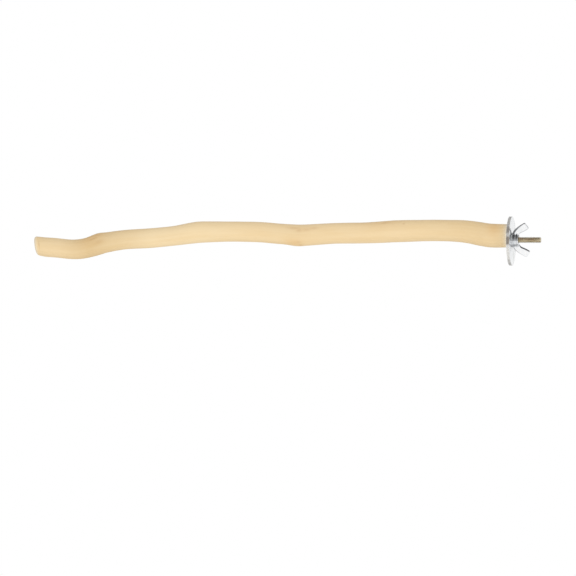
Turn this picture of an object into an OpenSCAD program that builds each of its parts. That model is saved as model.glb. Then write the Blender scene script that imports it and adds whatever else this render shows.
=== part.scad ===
// Wooden bird perch: a peeled branch with a double-ended screw, two large washers and a wing nut.
// +X runs along the screw, out of the wood and through the cage wall, and +Z is up.
// The origin is on the screw's axis, where the two washers meet and the cage wall goes between them.

/* [Branch] */
// Length of the branch, from the inner washer to the sawn free end
branch_len = 488.5; // [240:0.5:900]
// Usual thickness of the branch
branch_d = 20.5; // [18:0.5:32]
// Height of the middle of the bolt end over the screw's axis
bolt_below = 4.2; // [0:0.1:4.5]
// Slant of the sawn free end from a square cut, in degrees
saw_slant = 8; // [0:0.5:20]
// Width of the sanded round on the free end's rim
free_rim_w = 2.8; // [0.5:0.1:4]
// Width of the sanded round on the bolt end's rim
bolt_rim_w = 1.2; // [0.3:0.1:2]

/* [Double-ended screw] */
// Thread diameter, over the crests of both threads
bolt_d = 6; // [5:0.5:8]
// Length that stands out of the wood
bolt_out_len = 32.4; // [26:0.1:60]
// Length held in the wood
bolt_in_len = 46.8; // [30:0.1:70]
// Length of the plain shank between the two threads
shank_len = 6; // [2:0.5:12]
// Length of the point in the wood
point_len = 5; // [3:0.5:8]
// Bevel on the outer tip
tip_bevel = 0.8; // [0.4:0.1:1.2]
// Pitch of the machine thread
thread_pitch = 1; // [0.7:0.05:1.5]

/* [Washers] */
// Outer diameter of both washers
washer_d = 50; // [30:1:60]
// Thickness of each washer
washer_t = 1.5; // [1:0.1:3]
// Diameter of the hole in both washers
washer_hole_d = 8.4; // [8.2:0.1:10.5]
// Bevel on the stamped edges
washer_bevel = 0.25; // [0.1:0.05:0.4]

/* [Wing nut] */
// Distance from the washer face to the tips of the wings
nut_h = 17.2; // [14:0.1:22]
// Distance across the two wings
wing_span = 36.5; // [30:0.1:40]
// Thickness of the wings
wing_t = 3.2; // [1.6:0.1:3.5]
// Length of the threaded hub
hub_len = 6.5; // [5:0.1:9]
// Diameter of the hub's foot on the washer
foot_d = 14.4; // [13.6:0.1:18]
// Thickness of the hub's foot
foot_t = 1.3; // [0.8:0.1:2]
// Diameter of the hub's outer end
hub_d = 12; // [11:0.1:14]
// Widening of the hub towards its foot, on the radius
hub_draft = 0.5; // [0:0.1:1]
// Bevel on the edges of the foot and the hub
nut_bevel = 0.3; // [0.1:0.05:0.5]
// Depth of the countersink at both ends of the thread
countersink = 0.5; // [0.3:0.1:0.8]
// Turn of the nut about the screw, which leans its upper wing towards -Y, in degrees
nut_turn = 22; // [0:1:90]

/* [Fits] */
// Radial clearance of the nut and of the washers' lowest seat on the thread
thread_gap = 0.05; // [0.02:0.01:0.09]

/* [Hidden] */
$fn = 96;

// Overrun of every cut
over = 1;

// The branch's course, at the places where it bends or thickens. Each row is a place along the branch, the
// rise of its middle and its sway towards +Y as shares of the length, and its thickness as a share of the
// usual thickness.
course_shares = [
    [0.000, 0.0000, 0.0000, 1.18],
    [0.040, 0.0005, 0.0005, 1.21],
    [0.065, 0.0040, 0.0010, 1.21],
    [0.090, 0.0080, 0.0015, 1.15],
    [0.115, 0.0100, 0.0020, 1.10],
    [0.165, 0.0110, 0.0030, 1.07],
    [0.240, 0.0095, 0.0040, 1.09],
    [0.300, 0.0065, 0.0030, 1.04],
    [0.370, 0.0050, 0.0010, 1.02],
    [0.440, 0.0010, -0.0020, 1.04],
    [0.480, 0.0035, -0.0030, 1.00],
    [0.520, 0.0070, -0.0035, 1.00],
    [0.570, 0.0085, -0.0040, 0.98],
    [0.620, 0.0085, -0.0035, 1.01],
    [0.660, 0.0070, -0.0025, 1.06],
    [0.710, 0.0000, -0.0010, 0.98],
    [0.760, -0.0050, 0.0015, 0.98],
    [0.810, -0.0080, 0.0040, 0.97],
    [0.850, -0.0140, 0.0060, 1.03],
    [0.870, -0.0185, 0.0070, 1.11],
    [0.900, -0.0270, 0.0070, 1.02],
    [0.925, -0.0285, 0.0060, 0.99],
    [0.960, -0.0250, 0.0040, 0.99],
    [0.980, -0.0235, 0.0025, 0.99],
    [1.000, -0.0205, 0.0020, 0.95]
];

// Healed knots. Each row is a place along the branch, the angle round it from +Y through +Z in degrees, the
// swelling as a share of the radius, half its length as a share of the branch's length, and half its width
// in degrees.
knot_shares = [
    [0.425, 158, 0.050, 0.018, 32],
    [0.447, 262, 0.040, 0.016, 38],
    [0.245, 60, 0.030, 0.010, 28],
    [0.665, 20, 0.050, 0.014, 30],
    [0.872, 118, 0.040, 0.014, 34]
];

// How far the section is from round: a slow oval and three soft lobes, as shares of the radius
oval_share = 0.020;
lobe_share = 0.012;

// How far the oval and the lobes wander round the branch over its length, in degrees of their waves
oval_wander = 360;
lobe_wander = 900;

// Rings along the branch and points round it
branch_rings = 92;
branch_sides = 32;
rim_rings = 3;

// The saw cut's slant fades out over this many thicknesses of the branch
slant_reach_share = 1.6;

// A rolled screw's shank is as thick as its thread at the pitch line, which lies this share of the pitch deep
pitch_line_share = 0.325;

bolt_r = bolt_d / 2;
shank_r = bolt_r - pitch_line_share * thread_pitch;
wood_x = -washer_t;
screw_tip_x = wood_x - bolt_in_len;
bolt_tip_x = wood_x + bolt_out_len;
washer_drop = (washer_hole_d - bolt_d) / 2 - thread_gap;
nut_x = washer_t;
nut_bore_r = bolt_r + thread_gap;
hub_end_x = nut_x + hub_len;

// A metric thread's groove: its depth, the flat at its root and its mouth as shares of the pitch
groove_depth_share = 0.613;
groove_root_share = 0.25;
groove_mouth_share = 0.875;
groove_depth = groove_depth_share * thread_pitch;
groove_mouth = groove_mouth_share * thread_pitch;
groove_side = (groove_mouth - groove_root_share * thread_pitch) / 2;

// One side of the wing nut, as points in shares of the nut's height and of half its span. The outer edge climbs
// away from the foot, the tip is cut square, and the inner edge runs back to the hub.
wing_outline_shares = [
    [0.04, 0.26],
    [0.04, 0.43],
    [0.095, 0.53],
    [0.175, 0.615],
    [0.275, 0.70],
    [0.39, 0.785],
    [0.53, 0.873],
    [0.65, 0.945],
    [0.72, 0.985],
    [0.765, 1.00],
    [0.815, 0.985],
    [0.967, 0.775],
    [1.00, 0.715],
    [1.00, 0.70],
    [0.965, 0.675],
    [0.85, 0.605],
    [0.71, 0.535],
    [0.575, 0.475],
    [0.475, 0.425],
    [0.42, 0.34],
    [0.375, 0.26]
];

// The row of the course in whose stretch a place lies
function row_of(t, i = 0) =
    i >= len(course_shares) - 2 || t < course_shares[i + 1][0] ? i : row_of(t, i + 1);

// Slope of one column of the course at a row, from its neighbours
function slope_at(i, c) =
    let (a = max(i - 1, 0), b = min(i + 1, len(course_shares) - 1))
    (course_shares[b][c] - course_shares[a][c]) / (course_shares[b][0] - course_shares[a][0]);

// A smooth curve through one column of the course
function course(t, c) =
    let (
        i = row_of(t),
        a = course_shares[i],
        b = course_shares[i + 1],
        w = b[0] - a[0],
        u = (t - a[0]) / w
    )
    a[c] * (1 + 2 * u) * pow(1 - u, 2)
    + slope_at(i, c) * w * u * pow(1 - u, 2)
    + b[c] * u * u * (3 - 2 * u)
    + slope_at(i + 1, c) * w * u * u * (u - 1);

// How far two angles are apart, from 0 to 180 degrees
function turn_between(a, b) =
    let (d = abs(a - b) % 360)
    min(d, 360 - d);

// The swelling of all the knots at a place and an angle, as a share of the radius
function knots_at(t, angle, i = 0) =
    i >= len(knot_shares) ? 0 :
        let (
            k = knot_shares[i],
            along = (t - k[0]) / k[3],
            round = turn_between(angle, k[1]) / k[4]
        )
        k[2] * exp(-along * along - round * round) + knots_at(t, angle, i + 1);

// The radius of the branch at a place and an angle
function radius_at(t, angle) =
    branch_d / 2 * course(t, 3) * (
        1
        + oval_share * cos(2 * angle + oval_wander * t)
        + lobe_share * cos(3 * angle + lobe_wander * t)
        + knots_at(t, angle)
    );

// A point of the skin: place, angle, how far it is drawn in towards the middle
function skin(t, angle, inset) =
    let (
        r = radius_at(t, angle) - inset,
        rise = r * sin(angle),
        reach = slant_reach_share * branch_d / branch_len,
        fade = pow(max(0, (t - 1 + reach) / reach), 2)
    )
    [
        wood_x - t * branch_len - rise * tan(saw_slant) * fade,
        course(t, 2) * branch_len + r * cos(angle),
        bolt_below + course(t, 1) * branch_len + rise
    ];

// The rings of the branch as [place, inset]: the bolt end's rim, the length, and the free end's rim
bolt_rim_share = bolt_rim_w / branch_len;
free_rim_share = free_rim_w / branch_len;
ring_list = concat(
    [for (k = [0 : rim_rings - 1])
        let (a = 90 * k / rim_rings)
        [bolt_rim_share * (1 - cos(a)), bolt_rim_w * (1 - sin(a))]],
    [for (k = [0 : branch_rings - 1])
        [bolt_rim_share + (1 - bolt_rim_share - free_rim_share) * k / (branch_rings - 1), 0]],
    [for (k = [1 : rim_rings])
        let (a = 90 * k / rim_rings)
        [1 - free_rim_share * (1 - sin(a)), free_rim_w * (1 - cos(a))]]
);

branch_points = [
    for (ring = ring_list)
        for (s = [0 : branch_sides - 1])
            skin(ring[0], 360 * s / branch_sides, ring[1])
];
branch_faces = concat(
    [for (s = [1 : branch_sides - 2]) [0, s, s + 1]],
    [
        for (k = [0 : len(ring_list) - 2])
            for (s = [0 : branch_sides - 1])
                for (half = [0, 1])
                    let (
                        a = k * branch_sides + s,
                        b = k * branch_sides + (s + 1) % branch_sides
                    )
                    half == 0 ? [a, a + branch_sides, b] : [b, a + branch_sides, b + branch_sides]
    ],
    [
        for (s = [1 : branch_sides - 2])
            let (last = (len(ring_list) - 1) * branch_sides)
            [last, last + s + 1, last + s]
    ]
);

// A solid turned round the X axis from points [x, radius]
module turned(outline) {
    rotate([0, 90, 0])
        rotate_extrude()
            polygon([for (p = outline) [p[1], p[0]]]);
}

// The peeled branch, with the hole that the screw's wood thread fills
module branch() {
    color("burlywood")
        difference() {
            polyhedron(points = branch_points, faces = branch_faces, convexity = 6);
            turned([
                [wood_x + over, 0],
                [wood_x + over, bolt_r],
                [screw_tip_x + point_len, bolt_r],
                [screw_tip_x, 0]
            ]);
        }
}

// The screw, drawn over the crests of its threads. One groove of the machine thread, level with the nut's outer
// end, parts the free end from the stretch that carries the nut.
module hanger_bolt() {
    color("darkgoldenrod")
        turned([
            [screw_tip_x, 0],
            [screw_tip_x + point_len, bolt_r],
            [wood_x - shank_len - groove_depth, bolt_r],
            [wood_x - shank_len, shank_r],
            [wood_x - groove_depth, shank_r],
            [wood_x, bolt_r],
            [hub_end_x - groove_mouth, bolt_r],
            [hub_end_x - groove_mouth + groove_side, bolt_r - groove_depth],
            [hub_end_x - groove_side, bolt_r - groove_depth],
            [hub_end_x, bolt_r],
            [bolt_tip_x - tip_bevel, bolt_r],
            [bolt_tip_x, bolt_r - tip_bevel],
            [bolt_tip_x, 0]
        ]);
}

// A large flat washer whose inner face is at x. Its hole is loose on the screw, so it hangs low.
module washer(x) {
    hole_r = washer_hole_d / 2;
    rim_r = washer_d / 2;
    translate([x, 0, -washer_drop])
        turned([
            [0, hole_r],
            [0, rim_r - washer_bevel],
            [washer_bevel, rim_r],
            [washer_t - washer_bevel, rim_r],
            [washer_t, rim_r - washer_bevel],
            [washer_t, hole_r]
        ]);
}

module inner_washer() {
    color("silver")
        washer(wood_x);
}

module outer_washer() {
    color("silver")
        washer(0);
}

// One wing, flat in the XZ plane before the nut is turned, for the side given by 1 or -1
module wing(side) {
    rotate([90, 0, 0])
        linear_extrude(height = wing_t, center = true)
            polygon([for (p = wing_outline_shares) [p[0] * nut_h, side * p[1] * wing_span / 2]]);
}

// The wing nut: a round foot and hub with the thread's bore, and two wings
module wing_nut() {
    foot_r = foot_d / 2;
    hub_r = hub_d / 2;
    color("lightgray")
        translate([nut_x, 0, 0])
            rotate([nut_turn, 0, 0])
                difference() {
                    union() {
                        turned([
                            [0, 0],
                            [0, foot_r - nut_bevel],
                            [nut_bevel, foot_r],
                            [foot_t - nut_bevel, foot_r],
                            [foot_t, foot_r - nut_bevel],
                            [foot_t + hub_draft, hub_r + hub_draft],
                            [hub_len - nut_bevel, hub_r],
                            [hub_len, hub_r - nut_bevel],
                            [hub_len, 0]
                        ]);
                        wing(1);
                        wing(-1);
                    }
                    turned([
                        [-over, 0],
                        [-over, nut_bore_r + countersink + over],
                        [countersink, nut_bore_r],
                        [hub_len - countersink, nut_bore_r],
                        [hub_len + over, nut_bore_r + countersink + over],
                        [hub_len + over, 0]
                    ]);
                }
}

branch();
hanger_bolt();
inner_washer();
outer_washer();
wing_nut();
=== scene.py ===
import math

import bmesh
import bpy
import numpy as np
from mathutils import Matrix, Vector, noise


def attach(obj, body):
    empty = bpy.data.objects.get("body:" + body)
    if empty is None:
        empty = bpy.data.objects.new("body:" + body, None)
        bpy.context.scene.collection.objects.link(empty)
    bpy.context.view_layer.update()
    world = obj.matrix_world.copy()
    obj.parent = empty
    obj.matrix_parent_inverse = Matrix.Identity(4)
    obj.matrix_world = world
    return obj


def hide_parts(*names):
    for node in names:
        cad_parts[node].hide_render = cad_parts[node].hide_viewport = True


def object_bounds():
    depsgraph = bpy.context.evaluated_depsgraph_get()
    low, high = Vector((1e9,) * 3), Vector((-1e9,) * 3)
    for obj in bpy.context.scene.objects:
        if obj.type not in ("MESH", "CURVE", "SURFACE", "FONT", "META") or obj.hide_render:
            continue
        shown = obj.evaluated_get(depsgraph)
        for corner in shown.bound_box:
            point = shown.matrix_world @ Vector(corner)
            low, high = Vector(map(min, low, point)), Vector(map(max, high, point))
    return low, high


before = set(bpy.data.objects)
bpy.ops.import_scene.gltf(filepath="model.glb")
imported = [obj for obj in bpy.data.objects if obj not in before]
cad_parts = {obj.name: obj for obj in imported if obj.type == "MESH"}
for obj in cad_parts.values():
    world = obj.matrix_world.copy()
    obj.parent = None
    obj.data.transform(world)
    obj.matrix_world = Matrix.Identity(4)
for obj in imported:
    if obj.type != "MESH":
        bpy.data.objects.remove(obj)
cad_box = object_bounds()

MM = 0.001
# Points closer than this to a plane lie in it
NEAR = 1e-6

# Sizes in metres and angles in radians, the same as the solids have

BRANCH_LEN = 488.5 * MM
BRANCH_R = 10.25 * MM
BRANCH_RISE = 4.2 * MM
SAW_SLANT = math.radians(8)
# The share of the length over which the saw cut's slant fades out
SLANT_REACH = 1.6 * 2 * BRANCH_R / BRANCH_LEN
FREE_RIM = 2.8 * MM
BOLT_RIM = 1.2 * MM

WASHER_T = 1.5 * MM
WASHER_R = 25 * MM
WASHER_HOLE_R = 4.2 * MM
WASHER_DROP = 1.15 * MM
WOOD_X = -WASHER_T
FREE_X = WOOD_X - BRANCH_LEN

SCREW_R = 3 * MM
SCREW_TIP_X = WOOD_X + 32.4 * MM
SCREW_POINT_X = WOOD_X - 46.8 * MM
SHANK_X = WOOD_X - 6 * MM
SHANK_R = 2.675 * MM
TIP_BEVEL = 0.8 * MM

NUT_X = WASHER_T
NUT_H = 17.2 * MM
HALF_SPAN = 18.25 * MM
NUT_TURN = math.radians(22)
WING_T = 3.2 * MM
HUB_LEN = 6.5 * MM
HUB_R = 6 * MM
HUB_DRAFT = 0.5 * MM
FOOT_R = 7.2 * MM
FOOT_T = 1.3 * MM
COUNTERSINK = 0.5 * MM
THREAD_GAP = 0.05 * MM

# The threads, of which the solids have one groove. A profile lists shares of the pitch and of the depth

PITCH = 1 * MM
THREAD_DEPTH = 0.613 * MM
METRIC = [(0, 0), (0.125, 0), (0.4375, 1), (0.5625, 1), (0.875, 0), (1, 0)]
WOOD_PITCH = 2.4 * MM
WOOD_ROOT_R = 2.1 * MM
WOOD_THREAD = [(0, 0), (0.36, 0), (0.50, 1), (0.56, 1), (0.72, 0.05), (1, 0)]
GIMLET_LEN = 9 * MM

# The course of the branch: place from the bolt end, rise and sway of its middle, all as shares of the length,
# and thickness as a share of the usual one
COURSE = np.array([
    (0.000, 0.0000, 0.0000, 1.18), (0.040, 0.0005, 0.0005, 1.21), (0.065, 0.0040, 0.0010, 1.21),
    (0.090, 0.0080, 0.0015, 1.15), (0.115, 0.0100, 0.0020, 1.10), (0.165, 0.0110, 0.0030, 1.07),
    (0.240, 0.0095, 0.0040, 1.09), (0.300, 0.0065, 0.0030, 1.04), (0.370, 0.0050, 0.0010, 1.02),
    (0.440, 0.0010, -0.0020, 1.04), (0.480, 0.0035, -0.0030, 1.00), (0.520, 0.0070, -0.0035, 1.00),
    (0.570, 0.0085, -0.0040, 0.98), (0.620, 0.0085, -0.0035, 1.01), (0.660, 0.0070, -0.0025, 1.06),
    (0.710, 0.0000, -0.0010, 0.98), (0.760, -0.0050, 0.0015, 0.98), (0.810, -0.0080, 0.0040, 0.97),
    (0.850, -0.0140, 0.0060, 1.03), (0.870, -0.0185, 0.0070, 1.11), (0.900, -0.0270, 0.0070, 1.02),
    (0.925, -0.0285, 0.0060, 0.99), (0.960, -0.0250, 0.0040, 0.99), (0.980, -0.0235, 0.0025, 0.99),
    (1.000, -0.0205, 0.0020, 0.95),
])

# Healed knots: place, angle from +Y through +Z, swelling, half length, half width in degrees
KNOTS = [
    (0.425, 158, 0.050, 0.018, 32),
    (0.447, 262, 0.040, 0.016, 38),
    (0.245, 60, 0.030, 0.010, 28),
    (0.665, 20, 0.050, 0.014, 30),
    (0.872, 118, 0.040, 0.014, 34),
]

# How far the section is from round: height as a share of the radius, number of lobes, and how many degrees
# they turn over the length
LOBES = [(0.020, 2, 360), (0.012, 3, 900)]

# Ripples in the skin: height, sizes of the features in metres, seed
RIPPLES = [(0.16 * MM, (0.024, 0.009, 0.009), 3), (0.06 * MM, (0.012, 0.0028, 0.0028), 11)]

# Scars in the skin: place, angle, half length, half width in degrees, depth, darkness
SCARS = [
    (0.453, 137, 0.0190, 12, 0.04 * MM, 0.31),
    (0.441, 151, 0.0080, 14, 0.05 * MM, 0.30),
    (0.426, 150, 0.0120, 11, 0.04 * MM, 0.27),
    (0.410, 142, 0.0120, 11, 0.04 * MM, 0.29),
    (0.442, 221, 0.0070, 9, 0.04 * MM, 0.28),
    (0.439, 249, 0.0060, 12, 0.05 * MM, 0.34),
    (0.261, 126, 0.0130, 10, 0.04 * MM, 0.30),
    (0.221, 139, 0.0030, 9, 0.06 * MM, 0.34),
    (0.864, 168, 0.0140, 14, 0.04 * MM, 0.27),
    (0.876, 142, 0.0120, 9, 0.04 * MM, 0.32),
    (0.868, 126, 0.0110, 8, 0.05 * MM, 0.34),
    (0.823, 93, 0.0014, 16, 0.18 * MM, 0.85),
    (0.841, 262, 0.0014, 9, 0.14 * MM, 0.80),
    (0.990, 168, 0.0011, 34, 0.02 * MM, 0.50),
    (0.665, 20, 0.0080, 12, 0.20 * MM, 0.80),
    (0.652, 34, 0.0110, 5, 0.10 * MM, 0.50),
    (0.300, 330, 0.0050, 8, 0.14 * MM, 0.70),
    (0.560, 285, 0.0030, 6, 0.10 * MM, 0.50),
]
# A scar is a pit with a wider lip round it: the pit's depth and the lip's height, length and width
PIT_DEPTH, LIP_HEIGHT, LIP_LEN, LIP_WIDTH = 1.5, 0.7, 1.6, 1.7

# Tan blushes in the wood, and one patch of painted shade: place, angle, half length, half width in degrees,
# amount
BLUSHES = [
    (0.452, 228, 0.018, 26, 0.75),
    (0.430, 146, 0.026, 16, 0.30),
    (0.885, 130, 0.026, 50, 0.60),
    (0.665, 20, 0.020, 40, 0.80),
    (0.275, 125, 0.050, 36, 0.42),
    # Partly a tan spot and partly painted shade beside the washers
    (0.030, 140, 0.016, 42, 0.80),
]

# The strip at the bolt end, pale from sanding and brightened as painted light where the washers shade it; the
# pale zone beside it, painted light as if thrown from the washers; the pale rims; and the free end's grey
# tinge, painted shade on its outermost edge
STRIP_LEN = 2.5 * MM
PALE_END, PALE_FADE, PALE_AMOUNT = 6 * MM, 3 * MM, 0.45
RIM_REACH, RIM_AMOUNT = 1.1 * FREE_RIM / BRANCH_R, 0.4
END_SHADE_LEN, END_SHADE_FADE = 1.9 * MM, 1.0 * MM
# The strip, the pale zone and the scars keep to the branch's side, which begins at these shares of the radius
PALE_FROM, SCARRED_FROM = 0.8, 0.9

# A wing's outline: shares of the nut's height from the washer, and of half the span
WING_OUTLINE = [
    (0.04, 0.26), (0.04, 0.43), (0.095, 0.53), (0.175, 0.615), (0.275, 0.70), (0.39, 0.785), (0.53, 0.873),
    (0.65, 0.945), (0.72, 0.985), (0.765, 1.00), (0.815, 0.985), (0.967, 0.775), (1.00, 0.715), (1.00, 0.70),
    (0.965, 0.675), (0.85, 0.605), (0.71, 0.535), (0.575, 0.475), (0.475, 0.425), (0.42, 0.34), (0.375, 0.26),
]
WASHER_SIDE, FREE_SIDE = WING_OUTLINE[1:9], WING_OUTLINE[13:19]

# The wings' dark borders, painted shade beside their edges: wing, edge, width at the hub and at the tip,
# darkness, share of it lost at the tip
BORDERS = [
    (1, WASHER_SIDE, 2.00 * MM, 0.40 * MM, 0.95, 0.65),
    (-1, WASHER_SIDE, 1.00 * MM, 0.40 * MM, 0.60, 0.65),
    (1, FREE_SIDE, 0.65 * MM, 0.50 * MM, 0.70, 0.00),
    (-1, FREE_SIDE, 0.55 * MM, 0.30 * MM, 0.40, 0.00),
]
BORDER_FADE = 0.30 * MM
TIP_FADE_REACH = 1.4 * MM

# Camera: the side of its picture and the origin's place in it are in pixels, and a pixel is a real size

PHOTO_SIDE = 576
PIXEL = 1.02 * MM
ORIGIN_AT = (511.0, 239.9)
YAW = math.radians(8.2)
CAMERA_AWAY = 2


def make_camera():
    across, up = Vector((math.cos(YAW), math.sin(YAW), 0)), Vector((0, 0, 1))
    back = Vector((math.sin(YAW), -math.cos(YAW), 0))
    middle = (PHOTO_SIDE / 2 - ORIGIN_AT[0]) * PIXEL * across + (ORIGIN_AT[1] - PHOTO_SIDE / 2) * PIXEL * up
    lens = bpy.data.cameras.new("camera")
    lens.type = "ORTHO"
    lens.ortho_scale = PHOTO_SIDE * PIXEL
    lens.clip_start, lens.clip_end = 0.01, 30
    camera = bpy.data.objects.new("camera", lens)
    bpy.context.scene.collection.objects.link(camera)
    camera.rotation_mode = "QUATERNION"
    camera.rotation_quaternion = Matrix((across, up, back)).transposed().to_quaternion()
    camera.location = middle + back * CAMERA_AWAY
    bpy.context.scene.camera = camera


make_camera()

# Shader arithmetic


class Wire:
    """One output of a shader node, to do sums with."""

    def __init__(self, finish, socket):
        self.finish, self.socket = finish, socket

    def _sum(self, operation, *terms):
        return self.finish.add("ShaderNodeMath", {"operation": operation}, dict(enumerate(terms)))

    def __add__(self, other):
        return self._sum("ADD", self, other)

    def __sub__(self, other):
        return self._sum("SUBTRACT", self, other)

    def __rsub__(self, other):
        return self._sum("SUBTRACT", other, self)

    def __mul__(self, other):
        return self._sum("MULTIPLY", self, other)

    def __pow__(self, other):
        return self._sum("POWER", self, other)

    def __rpow__(self, other):
        return self._sum("POWER", other, self)

    __radd__ = __add__
    __rmul__ = __mul__


# The colour sockets of a Mix node, which has sockets of the same names for numbers and vectors
MIX_A, MIX_B, MIX_RESULT = 6, 7, 2


class Finish:
    """A material or the world, whose nodes are made here."""

    def __init__(self, owner):
        self.owner = owner
        owner.use_nodes = True
        self.nodes, self.links = owner.node_tree.nodes, owner.node_tree.links
        self.nodes.clear()

    def add(self, kind, settings=None, sockets=None, output=0):
        """Adds a node, sets it and its sockets, and gives one output, where it has any."""
        node = self.nodes.new(kind)
        for name, value in (settings or {}).items():
            if name == "stops":
                ramp = node.color_ramp
                while len(ramp.elements) > 1:
                    ramp.elements.remove(ramp.elements[-1])
                ramp.elements[0].position, ramp.elements[0].color = value[0]
                for place, colour in value[1:]:
                    ramp.elements.new(place).color = colour
            else:
                setattr(node, name, value)
        for name, value in (sockets or {}).items():
            if isinstance(value, Wire):
                self.links.new(value.socket, node.inputs[name])
            else:
                node.inputs[name].default_value = value
        return Wire(self, node.outputs[output]) if len(node.outputs) else None

    def mix(self, share, a, b):
        sockets = {"Factor": share, MIX_A: a, MIX_B: b}
        return self.add("ShaderNodeMix", {"data_type": "RGBA"}, sockets, MIX_RESULT)

    def step(self, value, low, high, to_low=0.0, to_high=1.0):
        return self.add("ShaderNodeMapRange", {"interpolation_type": "SMOOTHSTEP"}, {
            "Value": value, "From Min": low, "From Max": high, "To Min": to_low, "To Max": to_high})

    def ramp(self, value, stops):
        return self.add("ShaderNodeValToRGB", {"stops": stops}, {"Fac": value})

    def noise(self, vector, sizes, detail, roughness, distortion=0.0):
        """Noise whose features have these sizes, in metres."""
        scales = [1 / size for size in sizes]
        scaled = self.add("ShaderNodeVectorMath", {"operation": "MULTIPLY"}, {0: vector, 1: scales})
        return self.add("ShaderNodeTexNoise", None, {
            "Vector": scaled, "Scale": 1.0, "Detail": detail, "Roughness": roughness,
            "Distortion": distortion})

    def attribute(self, name, output="Fac"):
        return self.add("ShaderNodeAttribute", {"attribute_name": name}, None, output)

    def coordinate(self, vector, axis):
        return self.add("ShaderNodeSeparateXYZ", None, {"Vector": vector}, axis)

    def ray(self, kind):
        """One on rays of this kind, and nothing on others."""
        return self.add("ShaderNodeLightPath", None, None, f"Is {kind} Ray")

    def bump(self, height, strength, distance):
        return self.add("ShaderNodeBump", None, {
            "Strength": strength, "Distance": distance, "Height": height})

    def surface(self, sockets):
        """Ends a material in one shader, and gives the material."""
        shader = self.add("ShaderNodeBsdfPrincipled", None, sockets)
        self.add("ShaderNodeOutputMaterial", None, {"Surface": shader})
        return self.owner


def linear(red, green, blue):
    """A colour for a socket from its 0 to 255 values on screen."""
    parts = []
    for value in (red, green, blue):
        share = value / 255
        parts.append(share / 12.92 if share <= 0.04045 else ((share + 0.055) / 1.055) ** 2.4)
    return (*parts, 1.0)


def grey(level):
    return (level, level, level, 1.0)


def new_material(name):
    return Finish(bpy.data.materials.new(name))


# Wood


def skin_colour(finish, grain, fibre, streak, mark):
    """The peeled skin: wood in streaks and broad tones, with blushes, scars and places pale from sanding;
    painted light from the washers at the bolt end, and painted shade beside the washers and on the free end's
    edge.
    """
    plain, cream, tan = linear(241, 213, 166), linear(255, 232, 188), linear(230, 200, 150)
    pale, honey = linear(248, 223, 178), linear(218, 185, 130)
    cloud = finish.noise(grain, (0.035, 0.012, 0.012), 2, 0.5)
    colour = finish.mix(finish.step(streak, 0.35, 0.65), linear(239, 211, 163), linear(245, 220, 176))
    colour = finish.mix(finish.step(cloud, 0.38, 0.72) * 0.5, colour, linear(248, 227, 188))
    colour = finish.mix(finish.step(fibre, 0.54, 0.74) * 0.35, colour, linear(226, 194, 143))
    # The cream at the bolt end is painted light from the washers; the other stops are the wood's own tones
    tone = finish.ramp(finish.attribute("along"), [
        (0.00, cream), (0.02, plain), (0.06, tan), (0.20, plain), (0.50, plain), (0.65, pale), (0.75, pale),
        (0.88, honey), (0.95, plain),
    ])
    colour = finish.mix(0.55, colour, tone)
    colour = finish.mix(finish.attribute("blush") * 0.75, colour, linear(230, 190, 132))
    colour = finish.mix(mark, colour, linear(196, 150, 98))
    # Pale from sanding, and painted light at the bolt end where the washers shade the wood
    colour = finish.mix(finish.attribute("sanded"), colour, linear(255, 243, 218))
    # Painted shade on the free end's outermost edge, as a grey tinge
    return finish.mix(finish.attribute("greyed") * 0.16, colour, linear(138, 140, 152))


def end_grain(finish, grain):
    """The sawn ends: year rings about a pith off the middle, and pores. Gives the colour and the rings."""
    pith_y, pith_z, ring_w, wobble = 0.8 * MM, -1.1 * MM, 1.25 * MM, 1.1 * MM
    off_y, off_z = finish.coordinate(grain, "Y") - pith_y, finish.coordinate(grain, "Z") - pith_z
    wander = finish.noise(grain, (0.02, 0.006, 0.006), 2, 0.5)
    ring_r = (off_y * off_y + off_z * off_z) ** 0.5 + (wander - 0.5) * wobble
    ring = finish.add("ShaderNodeMath", {"operation": "FRACT"}, {0: ring_r * (1 / ring_w)})
    pore = finish.noise(grain, (0.0006, 0.0006, 0.0006), 2, 0.7)
    colour = finish.mix(finish.step(ring, 0.45, 0.95) * 0.6, linear(238, 210, 162), linear(205, 166, 112))
    colour = finish.mix(finish.step(pore, 0.55, 0.75) * 0.4, colour, linear(190, 150, 100))
    pith = finish.step(ring_r, 1.1 * MM, 0.6 * MM)
    return finish.mix(pith * 0.8, colour, linear(150, 108, 68)), ring


def peeled_wood():
    finish = new_material("peeled_wood")
    grain, sawn = finish.attribute("grain", "Vector"), finish.attribute("sawn")
    fibre = finish.noise(grain, (0.030, 0.0007, 0.0007), 4, 0.6)
    streak = finish.noise(grain, (0.110, 0.0028, 0.0028), 3, 0.55)
    ragged = finish.noise(grain, (0.0050, 0.0009, 0.0009), 3, 0.6)
    mark = finish.step(finish.attribute("scar"), 0.02, 0.80) * finish.step(ragged, 0.30, 0.65, 0.60, 1.10)
    end_colour, ring = end_grain(finish, grain)
    saw = finish.noise(grain, (0.01, 0.00045, 0.012), 2, 0.5)
    height = fibre * 0.5 + streak * 0.5 + (saw * 0.8 + ring * 0.5) * sawn - mark * 0.8
    return finish.surface({
        "Base Color": finish.mix(sawn, skin_colour(finish, grain, fibre, streak, mark), end_colour),
        "Roughness": finish.step(streak, 0.3, 0.7, 0.62, 0.52) + mark * 0.1,
        "IOR": 1.45, "Specular IOR Level": 0.35, "Normal": finish.bump(height, 0.55, 0.22 * MM)})


# Metal


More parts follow.
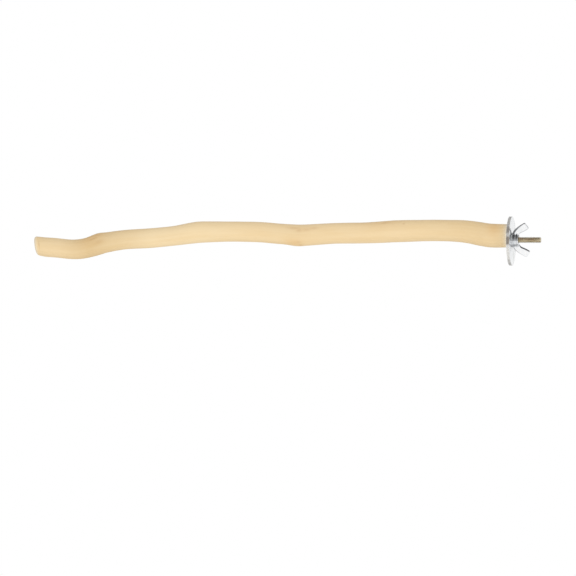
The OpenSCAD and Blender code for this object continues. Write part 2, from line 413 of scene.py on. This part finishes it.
def washer_rim(finish, radius, upward, speck):
    """A washer's rim, dulled by wear, with two soft brown smears on it that are painted reflections of the
    wood. Gives where it is and its colour.
    """
    on_rim = finish.step(radius, WASHER_R - 0.30 * MM, WASHER_R - 0.10 * MM)
    dull_part_colour = finish.mix(finish.step(speck, 0.4, 0.6), linear(214, 211, 206), linear(236, 236, 234))
    # Painted reflections of the wood: two brown smears across the rim
    high_painted_reflection = finish.step(upward, 7.5 * MM, 9.5 * MM) * finish.step(upward, 15.5 * MM, 13.5 * MM)
    low_painted_reflection = finish.step(upward, -4.5 * MM, -2.5 * MM) * finish.step(upward, 5.5 * MM, 3.5 * MM)
    return on_rim, finish.mix(high_painted_reflection * 0.65 + low_painted_reflection * 0.85, dull_part_colour, linear(152, 142, 132))


def nut_hub(finish, radius, along, upward, bars):
    """The nut's dull hub, its top darkened by painted shade, with pale bars round it. Gives where it is and
    its colour.
    """
    end = NUT_X + HUB_LEN
    on_hub = finish.step(radius, 8.2 * MM, 6.8 * MM) * finish.step(along, end + 0.6 * MM, end - 0.4 * MM)
    # Painted shade: the hub's top darker than its underside
    shaded_top = finish.mix(finish.step(upward, -1.2 * MM, 2.2 * MM), linear(206, 209, 213), linear(66, 68, 72))
    return on_hub, finish.mix(finish.step(bars, 0.42, 0.58), shaded_top, linear(236, 238, 240))


def bright_zinc(name, is_washer, dull, bright):
    """Bright zinc plate. A washer has faint rings about its middle and a rim dulled by wear, with painted
    reflections of the wood; the nut a dull hub with painted shade on top, and painted shade on its wings'
    edges.
    """
    finish = new_material(name)
    place = finish.add("ShaderNodeTexCoord", None, None, "Object")
    mottle = finish.noise(place, (0.0042, 0.0042, 0.0042), 3, 0.55)
    speck = finish.noise(place, (0.0006, 0.0006, 0.0006), 3, 0.6)
    wear = finish.noise(place, (0.013, 0.013, 0.013), 2, 0.5)
    shade = finish.mix(finish.step(mottle, 0.35, 0.70), dull, bright)
    shade = finish.mix(finish.step(speck, 0.60, 0.72) * 0.22, shade, linear(206, 209, 213))
    shade = finish.mix(finish.step(wear, 0.58, 0.70) * 0.25, shade, linear(214, 214, 206))
    height = mottle * 0.6 + speck * 0.25
    along, across, upward = (finish.coordinate(place, axis) for axis in "XYZ")
    if is_washer:
        upward = upward + WASHER_DROP
    radius = (across * across + upward * upward) ** 0.5
    rings_per_metre, bars_per_metre = 2600, 900
    bands = finish.add("ShaderNodeTexNoise", {"noise_dimensions": "1D"}, {
        "W": radius * rings_per_metre if is_washer else along * bars_per_metre, "Scale": 1.0, "Detail": 2.0})
    if is_washer:
        height = height + bands * 0.35
        dull_part, dull_part_colour = washer_rim(finish, radius, upward, speck)
    else:
        dull_part, dull_part_colour = nut_hub(finish, radius, along, upward, bands)
        # Painted shade on the wings' narrow edges and the borders beside them
        shade = finish.mix(finish.attribute("trimmed"), shade, linear(96, 97, 100))
    roughness = finish.step(mottle, 0.3, 0.7, 0.17, 0.26) + finish.step(wear, 0.55, 0.75) * 0.12
    return finish.surface({
        "Base Color": finish.mix(dull_part, shade, dull_part_colour),
        "Metallic": 1.0 - dull_part * (0.5 if is_washer else 0.1),
        "Roughness": roughness + dull_part * 0.06, "Normal": finish.bump(height, 0.30, 0.06 * MM)})


def yellow_zinc():
    finish = new_material("yellow_zinc")
    place = finish.add("ShaderNodeTexCoord", None, None, "Object")
    drift = finish.noise(place, (0.011, 0.0045, 0.0045), 3, 0.6)
    tint = finish.noise(place, (0.007, 0.003, 0.003), 2, 0.5, 0.8)
    grime = finish.noise(place, (0.0016, 0.0007, 0.0007), 3, 0.6)
    rose, green, brown = linear(206, 166, 138), linear(186, 188, 158), linear(140, 128, 106)
    shade = finish.mix(finish.step(drift, 0.35, 0.65), linear(206, 193, 164), linear(228, 217, 190))
    shade = finish.mix(finish.step(tint, 0.52, 0.68) * 0.5, shade, rose)
    shade = finish.mix(finish.step(tint, 0.44, 0.30) * 0.35, shade, green)
    shade = finish.mix(finish.step(grime, 0.55, 0.72) * 0.25, shade, brown)
    return finish.surface({
        "Base Color": shade, "Metallic": 0.85, "Roughness": finish.step(grime, 0.3, 0.7, 0.38, 0.52),
        "Normal": finish.bump(grime, 0.35, 0.04 * MM)})


# Modelling helpers


def take(piece):
    """Makes a piece the only one selected, and the active one."""
    bpy.ops.object.select_all(action="DESELECT")
    piece.select_set(True)
    bpy.context.view_layer.objects.active = piece


def fresh(name):
    """Names the primitive that was just added, and puts its place in its mesh."""
    piece = bpy.context.active_object
    piece.name = piece.data.name = name
    take(piece)
    bpy.ops.object.transform_apply(location=True, rotation=True, scale=True)
    return piece


def round_bar(name, middle, length, radius, sides):
    """A closed cylinder along X."""
    bpy.ops.mesh.primitive_cylinder_add(
        vertices=sides, radius=radius, depth=length, end_fill_type="NGON", location=middle,
        rotation=(0, math.pi / 2, 0))
    return fresh(name)


def pick(piece, kind, test):
    """In edit mode, selects the vertices, edges or faces that pass a test."""
    bpy.ops.mesh.select_all(action="DESELECT")
    bpy.ops.mesh.select_mode(type=kind)
    mesh = bmesh.from_edit_mesh(piece.data)
    items = {"VERT": mesh.verts, "EDGE": mesh.edges, "FACE": mesh.faces}[kind]
    for item in [item for item in items if test(item)]:
        item.select_set(True)
    mesh.select_flush_mode()
    bmesh.update_edit_mesh(piece.data)


# Only the flat ends of a bar are faces with more corners than this
MANY_CORNERS = 8
# How much of a face's normal lies along X where the face looks along it
ALONG_X = 0.9


def pick_end(piece, way=1):
    """In edit mode, selects the flat end of a bar that looks along X, or against it with a way of -1."""
    pick(piece, "FACE", lambda f: len(f.verts) > MANY_CORNERS and f.normal.x * way > ALONG_X)


def points_of(piece):
    spots = np.empty(len(piece.data.vertices) * 3)
    piece.data.vertices.foreach_get("co", spots)
    return spots.reshape(-1, 3)


def place_points(piece, spots):
    piece.data.vertices.foreach_set("co", spots.ravel())
    piece.data.update()


def finish_with(piece, kind, **settings):
    """Adds a modifier and applies it."""
    take(piece)
    modifier = piece.modifiers.new(kind.lower(), kind)
    for name, value in settings.items():
        setattr(modifier, name, value)
    bpy.ops.object.modifier_apply(modifier=modifier.name)


def cut_or_join(piece, other, operation):
    finish_with(piece, "BOOLEAN", operation=operation, object=other, solver="EXACT")
    bpy.data.objects.remove(other)


def smooth(piece, angle):
    """Shades a piece smooth, with edges sharper than an angle in degrees left sharp."""
    take(piece)
    bpy.ops.object.shade_smooth_by_angle(angle=math.radians(angle))


def face_outward():
    """In edit mode, turns every face of a piece outward."""
    bpy.ops.mesh.select_all(action="SELECT")
    bpy.ops.mesh.normals_make_consistent(inside=False)


def store(piece, name, values, kind="FLOAT"):
    """Gives each point a value that the finish reads."""
    layer = piece.data.attributes.new(name, kind, "POINT")
    layer.data.foreach_set("vector" if kind == "FLOAT_VECTOR" else "value",
                           np.asarray(values, np.float32).ravel())


# Branch

BRANCH_SIDES = 96
BLANK_RINGS = 80
RING_SPLITS = 8
BOLT_RIM_STEPS, FREE_RIM_STEPS = 5, 8
# Widths of the rings of faces in each sawn end, from the rim inward
END_RINGS = (0.6 * MM, 1.2 * MM, 1.6 * MM, 1.6 * MM)
# The pilot hole narrows to this share of its width at its point
HOLE_POINT = 0.1


def course(share, column):
    """A smooth curve through one column of the course."""
    at, values = COURSE[:, 0], COURSE[:, column]
    last = len(at) - 1
    before, after = np.maximum(np.arange(last + 1) - 1, 0), np.minimum(np.arange(last + 1) + 1, last)
    slope = (values[after] - values[before]) / (at[after] - at[before])
    i = np.clip(np.searchsorted(at, share, side="right") - 1, 0, last - 1)
    width = at[i + 1] - at[i]
    u = (share - at[i]) / width
    return (values[i] * (1 + 2 * u) * (1 - u) ** 2 + slope[i] * width * u * (1 - u) ** 2
            + values[i + 1] * u * u * (3 - 2 * u) + slope[i + 1] * width * u * u * (u - 1))


def lump(share, angle, place, around, half_len, half_width):
    """One at a place on the skin, falling away to nothing round it."""
    gap = np.abs(angle - around) % 360
    turn = np.minimum(gap, 360 - gap)
    return np.exp(-((share - place) / half_len) ** 2 - (turn / half_width) ** 2)


def noise_at(spots, sizes, seed):
    scale = 1 / np.array(sizes)
    return np.array([noise.noise(Vector(p * scale) + Vector((seed, 0, 0))) for p in spots])


def branch_blank():
    """A straight bar with rounded rims, ringed along its length and across its ends."""
    piece = round_bar("branch_wood", (WOOD_X - BRANCH_LEN / 2, 0, 0), BRANCH_LEN, BRANCH_R, BRANCH_SIDES)
    bpy.ops.object.mode_set(mode="EDIT")
    pick(piece, "EDGE", lambda e: all(v.co.x > WOOD_X - NEAR for v in e.verts))
    bpy.ops.mesh.bevel(offset=BOLT_RIM, segments=BOLT_RIM_STEPS, affect="EDGES")
    pick(piece, "EDGE", lambda e: all(v.co.x < FREE_X + NEAR for v in e.verts))
    bpy.ops.mesh.bevel(offset=FREE_RIM, segments=FREE_RIM_STEPS, affect="EDGES")
    longest_kept = 2 * BRANCH_LEN / BLANK_RINGS / RING_SPLITS
    for cuts in (BLANK_RINGS - 1, RING_SPLITS - 1):
        pick(piece, "EDGE", lambda e: abs(e.verts[0].co.x - e.verts[1].co.x) > longest_kept)
        bpy.ops.mesh.subdivide(number_cuts=cuts)
    for way in (-1, 1):
        for width in END_RINGS:
            pick_end(piece, way)
            bpy.ops.mesh.inset(thickness=width)
    bpy.ops.object.mode_set(mode="OBJECT")
    return piece


def shape_branch(piece, blank, share, angle, out):
    """Swells, scars and bends the blank, and slants its free end. Gives how dark the scars are."""
    swell = sum(size * np.cos(np.radians(lobes * angle + turn * share)) for size, lobes, turn in LOBES)
    for place, around, size, half_len, half_width in KNOTS:
        swell += size * lump(share, angle, place, around, half_len, half_width)
    radius = BRANCH_R * course(share, 3) * (1 + swell)
    end_rise = out * radius * np.sin(np.radians(angle))
    for height, sizes, seed in RIPPLES:
        radius += height * noise_at(blank, sizes, seed)
    scar = np.zeros(len(blank))
    for place, around, half_len, half_width, depth, dark in SCARS:
        mark = lump(share, angle, place, around, half_len, half_width)
        lip = lump(share, angle, place, around, half_len * LIP_LEN, half_width * LIP_WIDTH)
        radius += depth * (LIP_HEIGHT * lip - PIT_DEPTH * mark)
        scar = np.maximum(scar, dark * mark)
    fade = np.maximum(0, (share - 1 + SLANT_REACH) / SLANT_REACH) ** 2
    spots = np.column_stack([
        blank[:, 0] - end_rise * math.tan(SAW_SLANT) * fade,
        course(share, 2) * BRANCH_LEN + out * radius * np.cos(np.radians(angle)),
        BRANCH_RISE + course(share, 1) * BRANCH_LEN + out * radius * np.sin(np.radians(angle)),
    ])
    # The skin stays within the solid's length
    spots[:, 0] = np.maximum(spots[:, 0], cad_box[0][0])
    place_points(piece, spots)
    return scar


def mark_branch(piece, blank, share, angle, out, scar):
    """Stores what the finish reads: the grain, the blushes with a patch of painted shade, the scars, the sawn
    places and the places pale from sanding, with painted light at the bolt end and painted shade on the free
    end's edge.
    """
    blush = np.zeros(len(blank))
    for place, around, half_len, half_width, amount in BLUSHES:
        blush = np.maximum(blush, amount * lump(share, angle, place, around, half_len, half_width))
    x = blank[:, 0]
    rounded = (x < FREE_X + FREE_RIM - NEAR) | (x > WOOD_X - BOLT_RIM + NEAR)
    near_rim = 1 - out < RIM_REACH
    from_bolt = share * BRANCH_LEN
    # Past its length the strip fades over a third of it
    strip = np.clip(4 - 3 * from_bolt / STRIP_LEN, 0, 1)
    # Painted light beside the strip, as if thrown from the washers
    painted_washer_light = PALE_AMOUNT * np.clip((PALE_END - from_bolt) / PALE_FADE, 0, 1)
    on_rim = np.where(rounded & near_rim, RIM_AMOUNT, 0)
    sanded = np.maximum(on_rim, np.maximum(strip, painted_washer_light) * (out > PALE_FROM))
    store(piece, "grain", blank, "FLOAT_VECTOR")
    store(piece, "along", share)
    store(piece, "scar", scar * (out > SCARRED_FROM))
    store(piece, "blush", blush)
    store(piece, "sanded", sanded)
    # Painted shade on the free end's outermost edge
    store(piece, "greyed", np.clip((FREE_X + END_SHADE_LEN - x) / END_SHADE_FADE, 0, 1))
    store(piece, "sawn", (x < FREE_X + NEAR) | (x > WOOD_X - NEAR))


def drill_pilot_hole(piece):
    """Sinks the innermost face of the bolt end along the screw's axis, narrowing at its point."""
    bpy.ops.object.mode_set(mode="EDIT")
    pick_end(piece)
    mesh = bmesh.from_edit_mesh(piece.data)
    rim = [v for v in mesh.verts if v.select]
    heart = sum((v.co for v in rim), Vector()) / len(rim)
    for v in rim:
        way = (v.co - heart).normalized()
        v.co = Vector((WOOD_X, way.y * SCREW_R, way.z * SCREW_R))
    bmesh.update_edit_mesh(piece.data)
    depth = SCREW_POINT_X - WOOD_X + GIMLET_LEN
    bpy.ops.mesh.extrude_region_move(TRANSFORM_OT_translate={"value": (depth, 0, 0)})
    bpy.ops.mesh.extrude_region_move(TRANSFORM_OT_translate={"value": (-GIMLET_LEN, 0, 0)})
    bpy.ops.transform.resize(value=(1, HOLE_POINT, HOLE_POINT))
    bpy.ops.object.mode_set(mode="OBJECT")


def make_branch():
    piece = branch_blank()
    blank = points_of(piece)
    share = np.clip((WOOD_X - blank[:, 0]) / BRANCH_LEN, 0, 1)
    out = np.hypot(blank[:, 1], blank[:, 2]) / BRANCH_R
    angle = np.degrees(np.arctan2(blank[:, 2], blank[:, 1])) % 360
    scar = shape_branch(piece, blank, share, angle, out)
    mark_branch(piece, blank, share, angle, out, scar)
    drill_pilot_hole(piece)
    smooth(piece, 50)
    piece.data.materials.append(peeled_wood())
    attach(piece, "perch")
    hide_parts("branch")


# Screw

THREAD_SIDES = 48
CREST_R = SCREW_R - 0.01 * MM
# How far the machine thread runs into the wood and the shank into the wood thread, how far the wood thread
# overlaps the shank, and how far from the wood's face the shank ends and the machine thread begins to narrow
SUNK, OVERLAP, SHORT = 0.6 * MM, 0.4 * MM, 0.1 * MM
# The gimlet point's width at its very tip as a share, the curve by which it widens, and how steeply the wood
# thread grows away from the shank
GIMLET_TIP, GIMLET_CURVE, GROWTH = 0.04, 0.7, 0.5
# A thread starts this share of a pitch off the round places, so that no cut runs along an edge, and it has
# spare turns that are cut off
OFF_PITCH = 0.0137
SPARE_TURNS = 3


def threaded_rod(name, low, high, root, crest, pitch, profile):
    """A closed rod along X with a right-hand thread."""
    turns = math.ceil((high - low) / pitch) + SPARE_TURNS
    start = (math.floor(low / pitch) - 1 - OFF_PITCH) * pitch
    bpy.ops.mesh.primitive_grid_add(x_subdivisions=len(profile) - 1, y_subdivisions=1, size=1)
    piece = fresh(name)
    bpy.ops.object.mode_set(mode="EDIT")
    pick(piece, "VERT", lambda v: v.co.y > 0)
    bpy.ops.mesh.delete(type="VERT")
    bpy.ops.object.mode_set(mode="OBJECT")
    spots = points_of(piece)
    order = np.argsort(spots[:, 0])
    for rank, (along, out) in zip(order, profile):
        spots[rank] = (start + along * pitch, root + (crest - root) * out, 0)
    place_points(piece, spots)
    finish_with(piece, "SCREW", axis="X", screw_offset=pitch, angle=2 * math.pi, iterations=turns,
                steps=THREAD_SIDES, render_steps=THREAD_SIDES, use_normal_calculate=True)
    bpy.ops.object.mode_set(mode="EDIT")
    bpy.ops.mesh.select_all(action="SELECT")
    bpy.ops.mesh.remove_doubles(threshold=NEAR)
    for spot, side in ((low, 1), (high, -1)):
        bpy.ops.mesh.select_all(action="SELECT")
        bpy.ops.mesh.bisect(plane_co=(spot, 0, 0), plane_no=(side, 0, 0), use_fill=True, clear_inner=True,
                            threshold=NEAR / 10)
    face_outward()
    bpy.ops.object.mode_set(mode="OBJECT")
    return piece


def draw_in(piece, limit):
    """Draws every point in to the radius that limit gives for its x and its present radius."""
    spots = points_of(piece)
    out = np.hypot(spots[:, 1], spots[:, 2])
    share = np.minimum(1, limit(spots[:, 0], out) / np.maximum(out, NEAR))
    spots[:, 1] *= share
    spots[:, 2] *= share
    place_points(piece, spots)


def make_screw():
    piece = threaded_rod("hanger_screw", WOOD_X - SUNK, SCREW_TIP_X, SCREW_R - THREAD_DEPTH, CREST_R, PITCH,
                         METRIC)
    draw_in(piece, lambda x, out: SCREW_R - np.clip(x - SCREW_TIP_X + TIP_BEVEL, 0, None))
    draw_in(piece, lambda x, out: SCREW_R - np.clip(WOOD_X + SHORT - x, 0, None))
    wood = threaded_rod("wood_thread", SCREW_POINT_X, SHANK_X + OVERLAP, WOOD_ROOT_R, CREST_R, WOOD_PITCH,
                        WOOD_THREAD)
    draw_in(wood, lambda x, out: out * (
        np.clip((x - SCREW_POINT_X) / GIMLET_LEN, GIMLET_TIP, 1) ** GIMLET_CURVE))
    draw_in(wood, lambda x, out: SHANK_R + np.clip(SHANK_X - x, 0, None) * GROWTH)
    low, high = SHANK_X - SUNK, WOOD_X - SHORT
    shank = round_bar("shank", ((low + high) / 2, 0, 0), high - low, SHANK_R, THREAD_SIDES)
    cut_or_join(piece, shank, "UNION")
    cut_or_join(piece, wood, "UNION")
    smooth(piece, 28)
    piece.data.materials.append(yellow_zinc())
    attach(piece, "perch")
    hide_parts("hanger_bolt")


# Washers

WASHER_SIDES = 192
# The ring of faces inside the rim, as a share of the radius
FACE_RING = 0.35
# The rounds on a washer's edges, towards the wood and towards the nut
WOOD_ROUND, NUT_ROUND = 0.12 * MM, 0.30 * MM
ROUND_STEPS = 4


def make_washer(name, low_x, node, body, material):
    piece = round_bar(name, (low_x + WASHER_T / 2, 0, -WASHER_DROP), WASHER_T, WASHER_R, WASHER_SIDES)
    bpy.ops.object.mode_set(mode="EDIT")
    for width in (WASHER_R * FACE_RING, WASHER_R * (1 - FACE_RING) - WASHER_HOLE_R):
        pick(piece, "FACE", lambda f: len(f.verts) > MANY_CORNERS)
        bpy.ops.mesh.inset(thickness=width, use_individual=True)
    pick(piece, "FACE", lambda f: len(f.verts) > MANY_CORNERS)
    bpy.ops.mesh.bridge_edge_loops()
    for face_x, round_w in ((low_x, WOOD_ROUND), (low_x + WASHER_T, NUT_ROUND)):
        for ring in (WASHER_R, WASHER_HOLE_R):
            pick(piece, "EDGE", lambda e: all(
                abs(v.co.x - face_x) < NEAR
                and abs(math.hypot(v.co.y, v.co.z + WASHER_DROP) - ring) < 10 * NEAR for v in e.verts))
            bpy.ops.mesh.bevel(offset=round_w, segments=ROUND_STEPS, affect="EDGES")
    face_outward()
    bpy.ops.object.mode_set(mode="OBJECT")
    smooth(piece, 40)
    piece.data.materials.append(material)
    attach(piece, body)
    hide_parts(node)


# Wing nut

NUT_SIDES, COUNTERSINK_SIDES = 128, 96
# A wing's thickness at the axis, as a share of the usual one, and what it loses on the way to the tip
ROOT_SHARE, TAPER = 1.12, 0.20
# The forging's edges are rounded by a grid of this size and this many smoothings
GRID, SMOOTHINGS = 0.15 * MM, 4
TAP_OVER = 1 * MM
COUNTERSINK_DEEP = 1.6 * MM


def wing_line(shares, side):
    """The x and z of points on a wing's outline."""
    return np.array([(NUT_X + a * NUT_H, side * b * HALF_SPAN) for a, b in shares])


def beside(spots, corners):
    """How far each point is from a line through corners, seen square to the wings."""
    nearest = np.full(len(spots), np.inf)
    flat = spots[:, [0, 2]]
    for start, stop in zip(corners, corners[1:]):
        way = stop - start
        along = np.clip((flat - start) @ way / (way @ way), 0, 1)
        nearest = np.minimum(nearest, np.linalg.norm(flat - start - along[:, None] * way, axis=1))
    return nearest


def nut_hub_blank():
    """The foot, and the hub drawn out of it."""
    piece = round_bar("wing_nut_forged", (NUT_X + FOOT_T / 2, 0, 0), FOOT_T, FOOT_R, NUT_SIDES)
    bpy.ops.object.mode_set(mode="EDIT")
    pick_end(piece)
    bpy.ops.mesh.inset(thickness=FOOT_R - HUB_R - HUB_DRAFT)
    bpy.ops.mesh.extrude_region_move(TRANSFORM_OT_translate={"value": (HUB_LEN - FOOT_T, 0, 0)})
    shrink = HUB_R / (HUB_R + HUB_DRAFT)
    bpy.ops.transform.resize(value=(1, shrink, shrink))
    bpy.ops.object.mode_set(mode="OBJECT")
    return piece


def wing_blank(side):
    """A flat wing of the outline's shape, thinner towards its tip."""
    bpy.ops.mesh.primitive_circle_add(vertices=len(WING_OUTLINE), radius=HUB_R, fill_type="NGON")
    wing = fresh("wing")
    place_points(wing, np.insert(wing_line(WING_OUTLINE, side), 1, -WING_T / 2, axis=1))
    bpy.ops.object.mode_set(mode="EDIT")
    bpy.ops.mesh.select_all(action="SELECT")
    bpy.ops.mesh.extrude_region_move(TRANSFORM_OT_translate={"value": (0, WING_T, 0)})
    face_outward()
    bpy.ops.object.mode_set(mode="OBJECT")
    spots = points_of(wing)
    spots[:, 1] *= ROOT_SHARE - TAPER * (np.abs(spots[:, 2]) / HALF_SPAN)
    place_points(wing, spots)
    return wing


def painted_edge_darkness(piece):
    """How dark the finish paints each point as painted shade: the wings' narrow edges, but not at the tips,
    and borders beside them.
    """
    turned_from, turned_by = 0.97, 0.35
    tip_from, tip_by = 1.55, 0.25
    root_to, root_by = 0.45, 0.55
    under_hub, hub_by = 0.6 * MM, 0.8 * MM
    spots = points_of(piece)
    facing = np.empty(len(spots) * 3)
    piece.data.vertex_normals.foreach_get("vector", facing)
    edge_on = np.clip((turned_from - np.abs(facing[1::3])) / turned_by, 0, 1)
    out = np.abs(spots[:, 2]) / HALF_SPAN
    at_tip = np.clip((spots[:, 0] - NUT_X) / NUT_H + out - tip_from, 0, tip_by) / tip_by
    off_hub = np.clip((np.hypot(spots[:, 1], spots[:, 2]) - HUB_R + under_hub) / hub_by, 0, 1)
    toward_tip = np.clip((out - root_to) / root_by, 0, 1)
    dark = edge_on * (1 - at_tip)
    for side, edge, hub_width, tip_width, amount, tip_fade in BORDERS:
        away = beside(spots, wing_line(edge, side))
        border = np.clip((hub_width + (tip_width - hub_width) * toward_tip - away) / BORDER_FADE, 0, 1)
        kept = 1 - tip_fade * toward_tip ** 2 * (away < TIP_FADE_REACH)
        dark = np.maximum(dark, amount * border) * kept
    return dark * off_hub


def tap_nut(piece):
    """Cuts the thread, and a countersink at each of its mouths."""
    tap = threaded_rod("tap", NUT_X - TAP_OVER, NUT_X + HUB_LEN + TAP_OVER,
                       SCREW_R - THREAD_DEPTH + THREAD_GAP, SCREW_R + THREAD_GAP, PITCH, METRIC)
    cut_or_join(piece, tap, "DIFFERENCE")
    wide = SCREW_R + 2 * COUNTERSINK
    for mouth_x, way in ((NUT_X, 1), (NUT_X + HUB_LEN, -1)):
        bpy.ops.mesh.primitive_cone_add(
            vertices=COUNTERSINK_SIDES, radius1=wide, radius2=wide - COUNTERSINK_DEEP, depth=COUNTERSINK_DEEP,
            location=(mouth_x + way * (COUNTERSINK_DEEP / 2 - COUNTERSINK), 0, 0),
            rotation=(0, way * math.pi / 2, 0))
        cut_or_join(piece, fresh("countersink"), "DIFFERENCE")


def make_wing_nut(material):
    piece = nut_hub_blank()
    for side in (1, -1):
        cut_or_join(piece, wing_blank(side), "UNION")
    finish_with(piece, "REMESH", mode="VOXEL", voxel_size=GRID, adaptivity=0.0)
    finish_with(piece, "SMOOTH", factor=0.5, iterations=SMOOTHINGS)
    store(piece, "trimmed", painted_edge_darkness(piece))
    spots = points_of(piece)
    turn = np.array([[math.cos(NUT_TURN), -math.sin(NUT_TURN)], [math.sin(NUT_TURN), math.cos(NUT_TURN)]])
    spots[:, 1:] = spots[:, 1:] @ turn.T
    place_points(piece, spots)
    tap_nut(piece)
    smooth(piece, 35)
    piece.data.materials.append(material)
    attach(piece, "wing_nut")
    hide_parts("wing_nut")


make_branch()
make_screw()
washer_zinc = bright_zinc("stamped_zinc", True, linear(238, 240, 242), linear(249, 250, 250))
make_washer("washer_at_wood", WOOD_X, "inner_washer", "inner_washer", washer_zinc)
make_washer("washer_at_nut", 0, "outer_washer", "outer_washer", washer_zinc)
make_wing_nut(bright_zinc("forged_zinc", False, linear(240, 242, 244), linear(250, 250, 251)))

# Floor, background and light

FLOOR_SIZE = 12
FLOOR_MIDDLE = (-0.22, 0, -0.12)

SOFTBOX_AT = (0.1, -2.2, 0.5)
SOFTBOX_AIM = (-0.2, 0, 0)
SOFTBOX_SIZE = (2.4, 1.2)
SOFTBOX_WATTS = 11

# What the metal mirrors of the room, round the X axis: share of a turn and grey
MIRRORED = [
    (0.000, 0.95), (0.300, 1.00), (0.440, 1.00), (0.500, 0.52), (0.540, 0.24), (0.570, 0.24), (0.590, 0.40),
    (0.612, 0.14), (0.740, 0.12), (0.820, 0.26), (0.930, 0.22), (0.985, 0.85), (1.000, 0.95),
]


def make_floor():
    """White paper. The metal mirrors grey cards that lie on it, behind the perch and far in front."""
    bpy.ops.mesh.primitive_plane_add(size=FLOOR_SIZE, location=FLOOR_MIDDLE)
    floor = fresh("floor")
    finish = new_material("floor_paper")
    mirrored = finish.ray("Glossy")
    depth = finish.coordinate(finish.add("ShaderNodeNewGeometry"), "Y")
    card_behind = finish.step(depth, -0.03, 0.02) * finish.step(depth, 0.9, 0.5)
    card_in_front = finish.step(depth, -0.22, -0.50)
    paper = finish.add("ShaderNodeBsdfDiffuse", None, {"Color": (0.93, 0.93, 0.92, 1)})
    glow = (finish.ray("Camera") + finish.ray("Transmission") + mirrored) * 0.12 + 0.20
    lift = finish.add("ShaderNodeEmission", None, {"Color": grey(1), "Strength": glow})
    lit = finish.add("ShaderNodeAddShader", None, {0: paper, 1: lift})
    card = finish.add("ShaderNodeEmission", None, {"Color": grey(0.42)})
    seen = finish.add("ShaderNodeMixShader", None, {
        "Fac": mirrored * card_behind + mirrored * card_in_front, 1: lit, 2: card})
    finish.add("ShaderNodeOutputMaterial", None, {"Surface": seen})
    floor.data.materials.append(finish.owner)


def light_world():
    """White where it is seen. As light it is a pale room, darker towards the ceiling. Metal mirrors greys."""
    world = bpy.data.worlds.new("room")
    bpy.context.scene.world = world
    finish = Finish(world)
    way = finish.add("ShaderNodeTexCoord", None, None, "Generated")
    sideways, depth, height = (finish.coordinate(way, axis) for axis in "XYZ")
    room = finish.ramp(height * 0.5 + 0.5, [
        (0.0, grey(0.84)), (0.50, grey(0.84)), (0.72, grey(0.76)), (1.0, (0.62, 0.62, 0.63, 1))])
    turn = finish.add("ShaderNodeMath", {"operation": "ARCTAN2"}, {0: height, 1: depth * -1.0})
    mirrored = finish.ramp(turn * (0.5 / math.pi) + 0.5, [(at, grey(level)) for at, level in MIRRORED])
    # The wall that the screw points to is paler
    mirrored = finish.mix(finish.step(sideways, 0.16, 0.26) * 0.7, mirrored, grey(0.9))
    colour = finish.mix(finish.ray("Glossy"), room, mirrored)
    colour = finish.mix(finish.ray("Camera") + finish.ray("Transmission"), colour, grey(1))
    background = finish.add("ShaderNodeBackground", None, {"Color": colour})
    finish.add("ShaderNodeOutputWorld", None, {"Surface": background})


def make_softbox():
    """A soft light in front, which the metal doesn't mirror."""
    lamp = bpy.data.lights.new("front_box", "AREA")
    lamp.shape, lamp.energy = "RECTANGLE", SOFTBOX_WATTS
    lamp.size, lamp.size_y = SOFTBOX_SIZE
    box = bpy.data.objects.new("front_box", lamp)
    bpy.context.scene.collection.objects.link(box)
    box.location = SOFTBOX_AT
    box.rotation_mode = "QUATERNION"
    box.rotation_quaternion = (Vector(SOFTBOX_AIM) - Vector(SOFTBOX_AT)).to_track_quat("-Z", "Y")
    box.visible_glossy = False


make_floor()
light_world()
make_softbox()

bpy.context.scene.view_settings.view_transform = "Standard"
